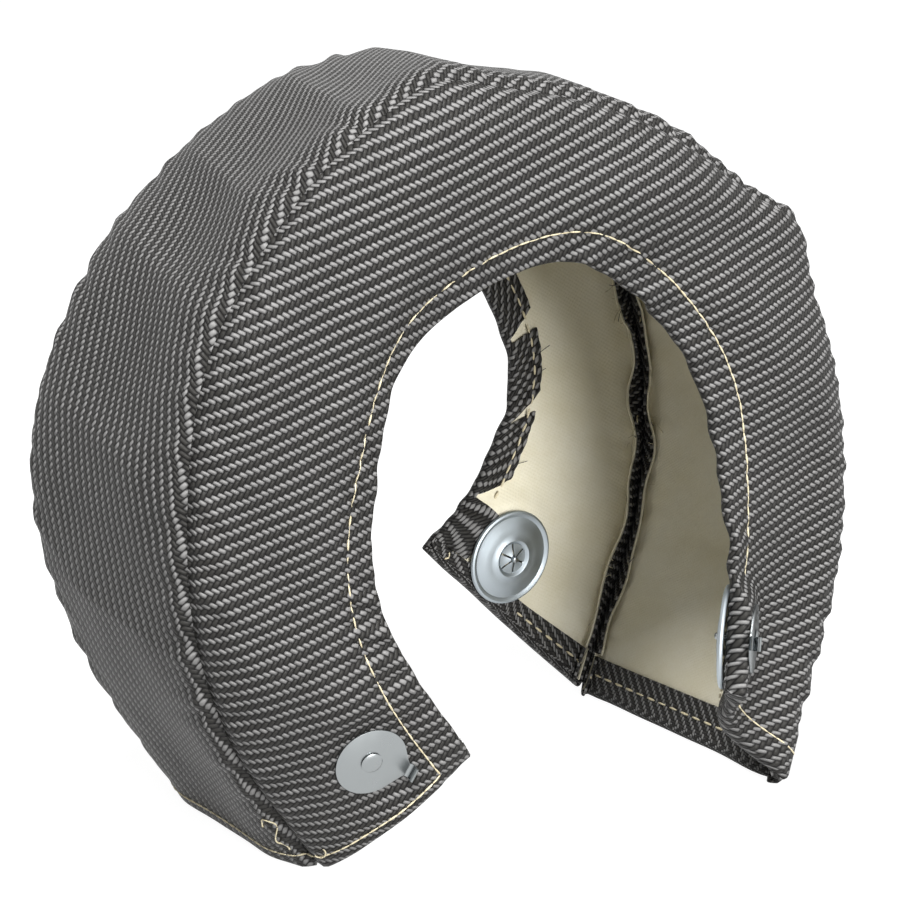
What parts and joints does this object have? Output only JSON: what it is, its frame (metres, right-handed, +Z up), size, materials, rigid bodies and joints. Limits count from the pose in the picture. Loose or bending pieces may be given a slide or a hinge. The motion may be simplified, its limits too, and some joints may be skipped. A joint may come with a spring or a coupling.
{
  "type": "turbo heat blanket",
  "caption": "Sewn C-shaped insulating cover for a turbine housing, with notched hems and lacing anchors at its arm ends.",
  "frame": {"origin": "on the ground at the middle of the blanket's bounding box", "axes": "+X to the right seen from the front, +Y from the front face to the back face, +Z up, with the C open downwards"},
  "size_m": [0.2834, 0.1422, 0.2749],
  "materials": {
    "cloth": "silvery black carbon-look twill",
    "mat": "matt fibre mat",
    "lining": "matt cream silica cloth",
    "steel": "bright rolled stainless sheet"
  },
  "bodies": {
    "root": {"front_cloth": "cloth", "front_mat": "mat", "front_lining": "lining", "band_cloth": "cloth", "band_mat": "mat", "band_lining": "lining", "back_cloth": "cloth", "back_mat": "mat", "back_lining": "lining", "front_left_hook_washer": "steel", "front_left_pin": "steel", "front_left_lock_cap": "steel", "front_right_hook_washer": "steel", "front_right_pin": "steel", "front_right_lock_cap": "steel", "back_left_hook_washer": "steel", "back_left_pin": "steel", "back_left_lock_cap": "steel", "back_right_hook_washer": "steel", "back_right_pin": "steel", "back_right_lock_cap": "steel"}
  },
  "joints": []
}
